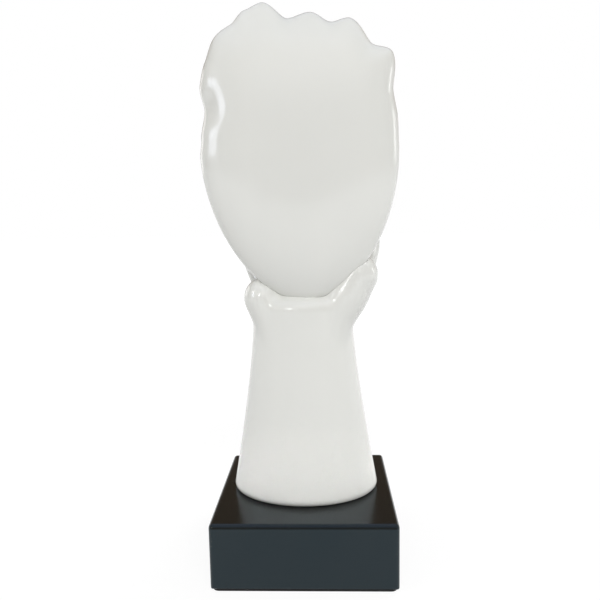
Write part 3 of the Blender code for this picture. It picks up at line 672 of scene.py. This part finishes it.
def make_hand(face):
    bm = bmesh.new()
    for mesh in (arm_mesh(), *hand_meshes()):
        bm.from_mesh(mesh)
    bmesh.ops.recalc_face_normals(bm, faces=bm.faces)
    mesh = bpy.data.meshes.new("hand")
    bm.to_mesh(mesh)
    bm.free()
    hand = link("hand", mesh)
    melt = hand.modifiers.new("melt", "REMESH")
    melt.mode = "VOXEL"
    melt.voxel_size = HAND_VOXEL
    bake(hand)
    group_by_height(hand)
    smooth(hand, HAND_SMOOTHING)
    smooth(hand, PALM_SMOOTHING, "palm")
    bake(hand)
    hand.vertex_groups.clear()
    sculpt_hand(hand.data)
    smooth(hand, 1)
    cut(hand, (under_foot(), arm_cavity(), dowel_bore(), face_seat(face)))
    hand.data.shade_smooth()
    hand.data.set_sharp_from_angle(angle=SHARP_ANGLE)
    return hand


def add(tree, kind, inputs=None, **settings):
    node = tree.nodes.new("ShaderNode" + kind)
    for key, value in settings.items():
        setattr(node, key, value)
    for key, value in (inputs or {}).items():
        if isinstance(value, bpy.types.NodeSocket):
            tree.links.new(value, node.inputs[key])
        else:
            node.inputs[key].default_value = value
    return node


def new_material(name):
    material = bpy.data.materials.new(name)
    material.use_nodes = True
    return material, material.node_tree, material.node_tree.nodes["Principled BSDF"]


def place(tree, scale=(1, 1, 1)):
    """Object coordinates in metres, stretched by a scale."""
    coordinates = add(tree, "TexCoord").outputs["Object"]
    return add(tree, "Mapping", {"Vector": coordinates, "Scale": scale}).outputs["Vector"]


def noise(tree, vector, scale, detail=3.0, rough=0.5):
    node = add(tree, "TexNoise", {"Vector": vector, "Scale": scale, "Detail": detail, "Roughness": rough})
    return node.outputs["Fac"]


def ramp(tree, fac, low, high, start=0.0, end=1.0):
    """Spreads a factor between two values."""
    inputs = {"Value": fac, "From Min": start, "From Max": end, "To Min": low, "To Max": high}
    return add(tree, "MapRange", inputs).outputs["Result"]


def blend_colour(tree, fac, first, second, kind="MIX"):
    node = add(tree, "Mix", data_type="RGBA", blend_type=kind)
    for slot, value in (("Factor_Float", fac), ("A_Color", first), ("B_Color", second)):
        socket = next(s for s in node.inputs if s.identifier == slot)
        if isinstance(value, bpy.types.NodeSocket):
            tree.links.new(value, socket)
        elif isinstance(value, float):
            socket.default_value = value
        else:
            socket.default_value = (*value, 1)
    return next(s for s in node.outputs if s.identifier == "Result_Color")


def gloss_resin():
    """White gloss paint over cast resin: faint clouds, upright streaks from the spray, and orange peel."""
    material, tree, shader = new_material("gloss_white_resin")
    cloud = noise(tree, place(tree), 16.0, 2.0)
    streak = noise(tree, place(tree, (60, 60, 5)), 1.0, 2.0)
    tone = blend_colour(tree, ramp(tree, cloud, 0, 1, 0.3, 0.7), (0.79, 0.793, 0.757),
                        (0.768, 0.772, 0.738))
    tone = blend_colour(tree, ramp(tree, streak, 0, 0.5, 0.35, 0.75), tone, (0.755, 0.76, 0.727))
    peel = noise(tree, place(tree), 700.0, 2.0)
    wave = noise(tree, place(tree), 90.0, 1.0)
    bump_small = add(tree, "Bump", {"Height": peel, "Strength": 0.05, "Distance": 0.0003})
    bump_large = add(tree, "Bump", {"Height": wave, "Strength": 0.08, "Distance": 0.001,
                                    "Normal": bump_small.outputs["Normal"]})
    tree.links.new(tone, shader.inputs["Base Color"])
    tree.links.new(ramp(tree, streak, 0.2, 0.3), shader.inputs["Roughness"])
    tree.links.new(bump_large.outputs["Normal"], shader.inputs["Normal"])
    tree.links.new(bump_large.outputs["Normal"], shader.inputs["Coat Normal"])
    shader.inputs["Coat Weight"].default_value = 0.6
    shader.inputs["Coat Roughness"].default_value = 0.09
    return material


def lacquer():
    """Black lacquer rubbed to a satin over straight-grained wood."""
    material, tree, shader = new_material("black_lacquered_wood")
    grain = noise(tree, place(tree, (14, 420, 420)), 1.0, 3.0)
    haze = noise(tree, place(tree), 40.0, 3.0)
    tone = blend_colour(tree, ramp(tree, haze, 0, 1, 0.3, 0.7), (0.0095, 0.0085, 0.0068),
                        (0.0065, 0.006, 0.005))
    fine = add(tree, "Bump", {"Height": grain, "Strength": 0.1, "Distance": 0.0001})
    tree.links.new(tone, shader.inputs["Base Color"])
    tree.links.new(ramp(tree, haze, 0.17, 0.24), shader.inputs["Roughness"])
    tree.links.new(fine.outputs["Normal"], shader.inputs["Normal"])
    shader.inputs["Specular Tint"].default_value = (0.585, 0.87, 1.05, 1)
    return material


def felt():
    material, tree, shader = new_material("black_felt")
    fibre = noise(tree, place(tree), 2600.0, 4.0, 0.7)
    tuft = noise(tree, place(tree), 420.0, 3.0, 0.6)
    tone = blend_colour(tree, fibre, (0.004, 0.004, 0.005), (0.03, 0.03, 0.032))
    relief_node = add(tree, "Bump", {"Height": add(tree, "Math", {0: fibre, 1: tuft}).outputs[0],
                                     "Strength": 0.7, "Distance": 0.0004})
    tree.links.new(tone, shader.inputs["Base Color"])
    tree.links.new(relief_node.outputs["Normal"], shader.inputs["Normal"])
    shader.inputs["Roughness"].default_value = 0.95
    shader.inputs["Sheen Weight"].default_value = 0.1
    return material


def plated_steel():
    material, tree, shader = new_material("zinc_plated_steel")
    blotch = noise(tree, place(tree), 330.0, 3.0)
    tone = blend_colour(tree, blotch, (0.62, 0.62, 0.6), (0.48, 0.49, 0.5))
    tree.links.new(tone, shader.inputs["Base Color"])
    tree.links.new(ramp(tree, blotch, 0.25, 0.45), shader.inputs["Roughness"])
    shader.inputs["Metallic"].default_value = 1.0
    return material


def beech():
    material, tree, shader = new_material("plain_beech")
    grain = noise(tree, place(tree, (60, 700, 60)), 1.0, 4.0)
    fleck = noise(tree, place(tree, (900, 900, 120)), 1.0, 2.0)
    tone = blend_colour(tree, grain, (0.56, 0.37, 0.2), (0.42, 0.25, 0.13))
    tone = blend_colour(tree, ramp(tree, fleck, 0, 0.6, 0.62, 0.75), tone, (0.3, 0.17, 0.09))
    pore = add(tree, "Bump", {"Height": grain, "Strength": 0.2, "Distance": 0.0003})
    tree.links.new(tone, shader.inputs["Base Color"])
    tree.links.new(pore.outputs["Normal"], shader.inputs["Normal"])
    shader.inputs["Roughness"].default_value = 0.6
    return material


def dress(obj, material):
    obj.data.materials.clear()
    obj.data.materials.append(material)


def seen_rays(tree):
    """1 for rays that look at the background: from the camera, from gloss and through glass."""
    path = add(tree, "LightPath")
    both = add(tree, "Math", {0: path.outputs["Is Camera Ray"], 1: path.outputs["Is Glossy Ray"]},
               operation="MAXIMUM")
    return add(tree, "Math", {0: both.outputs[0], 1: path.outputs["Is Transmission Ray"]}, operation="MAXIMUM")


def make_world():
    """White for the camera; gloss picks up a white band, a dim room and a paler ceiling."""
    world = bpy.data.worlds.new("studio")
    world.use_nodes = True
    SCENE.world = world
    tree = world.node_tree
    background = tree.nodes["Background"]
    path = add(tree, "LightPath")
    direction = add(tree, "TexCoord").outputs["Generated"]
    axes = add(tree, "SeparateXYZ", {"Vector": direction}).outputs
    height = axes["Z"]
    low, ahead = ramp(tree, height, 1, 0, 0.08, 0.26), ramp(tree, axes["Y"], 1, 0, -0.3, 0.1)
    band = add(tree, "Math", {0: low, 1: ahead}, operation="MULTIPLY").outputs[0]
    room = blend_colour(tree, band, (0.15, 0.10, 0.06), (0.8, 0.8, 0.8))
    gloss_view = blend_colour(tree, ramp(tree, height, 0, 1, 0.55, 0.8), room, (0.6, 0.64, 0.78))
    ambient = blend_colour(tree, path.outputs["Is Glossy Ray"], (0.36, 0.36, 0.36), gloss_view)
    seen = add(tree, "Math", {0: path.outputs["Is Camera Ray"], 1: path.outputs["Is Transmission Ray"]},
               operation="MAXIMUM").outputs[0]
    tree.links.new(blend_colour(tree, seen, ambient, (1.0, 1.0, 1.0)), background.inputs["Color"])
    background.inputs["Strength"].default_value = 1.0


def make_floor():
    bm = bmesh.new()
    bmesh.ops.create_grid(bm, x_segments=4, y_segments=4, size=6)
    mesh = bpy.data.meshes.new("floor")
    bm.to_mesh(mesh)
    bm.free()
    floor = link("floor", mesh)
    material = bpy.data.materials.new("white_sweep")
    material.use_nodes = True
    tree = material.node_tree
    tree.nodes.clear()
    paper = noise(tree, place(tree), 60.0, 3.0)
    tone = blend_colour(tree, paper, (0.66, 0.66, 0.66), (0.62, 0.62, 0.62))
    diffuse = add(tree, "BsdfDiffuse", {"Color": tone})
    glow = add(tree, "Emission", {"Color": (1, 1, 1, 1), "Strength": 1.17})
    seen = seen_rays(tree)
    apart = add(tree, "VectorMath", {0: place(tree)}, operation="LENGTH").outputs["Value"]
    far = ramp(tree, apart, 0.75, 1.0, 0.2, 1.2)
    share = add(tree, "Math", {0: seen.outputs[0], 1: far}, operation="MULTIPLY")
    mix = add(tree, "MixShader", {0: share.outputs[0], 1: diffuse.outputs[0], 2: glow.outputs[0]})
    out = add(tree, "OutputMaterial")
    tree.links.new(mix.outputs[0], out.inputs["Surface"])
    dress(floor, material)


def aim(obj, target):
    direction = Vector(target) - obj.location
    obj.rotation_euler = direction.to_track_quat("-Z", "Y").to_euler()


def softbox(name, location, size, power, lights=True, shines=True, target=MIDDLE, spread=180,
            colour=(1, 1, 1)):
    """A rectangular lamp, which may light without showing in the gloss, or show in the gloss only."""
    light = bpy.data.lights.new(name, "AREA")
    light.shape = "RECTANGLE"
    light.size, light.size_y = size
    light.energy = power
    light.spread = math.radians(spread)
    light.color = colour
    obj = link(name, light)
    obj.location = location
    obj.visible_diffuse = lights
    obj.visible_glossy = shines
    aim(obj, target)
    return obj


def shine_only_on(lamp, piece):
    receivers = bpy.data.collections.new(lamp.name + "_receivers")
    receivers.objects.link(piece)
    lamp.light_linking.receiver_collection = receivers


def make_lights(face, hand):
    """Lamps that light the object, then windows that shine along its rims, on the palm and on the face."""
    softbox("key_softbox", (-0.15, 1.6, 1.25), (1.5, 1.2), 21.5, shines=False)
    softbox("left_softbox", (1.2, 0.62, 1.0), (0.5, 0.62), 3.4, shines=False)
    softbox("right_softbox", (-1.2, 0.15, 0.12), (0.3, 0.16), 1.9, shines=False, target=(0, 0, 0.04))
    for side, power in ((1, 0.0067), (-1, 0.0062)):
        softbox("foot_softbox", (0.95 * side, 0.5, 0.035), (0.3, 0.02), power, shines=False, target=FOOT,
                spread=5)
    softbox("face_softbox", (-1.1, -1.15, 1.0), (0.9, 0.9), 8.8, shines=False)
    softbox("face_fill", (1.3, -0.9, 0.5), (0.7, 0.7), 2.2)
    softbox("left_window", (1.3, 0.64, 0.5), (0.56, 0.38), 2.75, lights=False, colour=(0.84, 0.89, 1))
    softbox("right_window", (-1.35, -0.2, 0.43), (0.3, 0.36), 1.1)
    palm_lamp = softbox("palm_lamp", (0.49, 1.03, 0.46), (0.26, 0.18), 1.35, lights=False)
    palm_window = softbox("palm_window", (1.36, 0.5, 0.85), (0.34, 0.2), 1.4, lights=False)
    face_window = softbox("face_window", (-1.1, -1.15, 1.0), (0.9, 0.9), 7.5, lights=False)
    for lamp, piece in ((palm_lamp, hand), (palm_window, hand), (face_window, face)):
        shine_only_on(lamp, piece)


def make_camera():
    data = bpy.data.cameras.new("photo_camera")
    data.lens = CAMERA_LENS
    data.sensor_width = 36
    data.clip_start = 0.01
    camera = link("photo_camera", data)
    forward = Vector((math.sin(CAMERA_YAW) * math.cos(CAMERA_PITCH),
                      -math.cos(CAMERA_YAW) * math.cos(CAMERA_PITCH), -math.sin(CAMERA_PITCH)))
    right = forward.cross(Vector((0, 0, 1))).normalized()
    up = right.cross(forward)
    level = math.cos(CAMERA_ROLL) * right + math.sin(CAMERA_ROLL) * up
    upright = -math.sin(CAMERA_ROLL) * right + math.cos(CAMERA_ROLL) * up
    turn = Matrix((level, upright, -forward)).transposed().to_4x4()
    camera.matrix_world = Matrix.Translation(CAMERA_PLACE) @ turn
    SCENE.camera = camera


def main():
    resin = gloss_resin()
    face = make_face()
    hand = make_hand(face)
    for piece, node in ((face, "face_casting"), (hand, "forearm_hand")):
        dress(piece, resin)
        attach(piece, frame["record"].get("root_body", "root"))
        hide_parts(node)
    finishes = {"plinth_block": lacquer(), "base_felt": felt(), "arm_plug": beech()}
    steel = plated_steel()
    for name, obj in frame["nodes"].items():
        if name in ("face_casting", "forearm_hand"):
            dress(obj, resin)
        else:
            dress(obj, finishes.get(name, steel))
    make_world()
    make_floor()
    make_lights(face, hand)
    make_camera()
    SCENE.view_settings.view_transform = "Standard"


main()
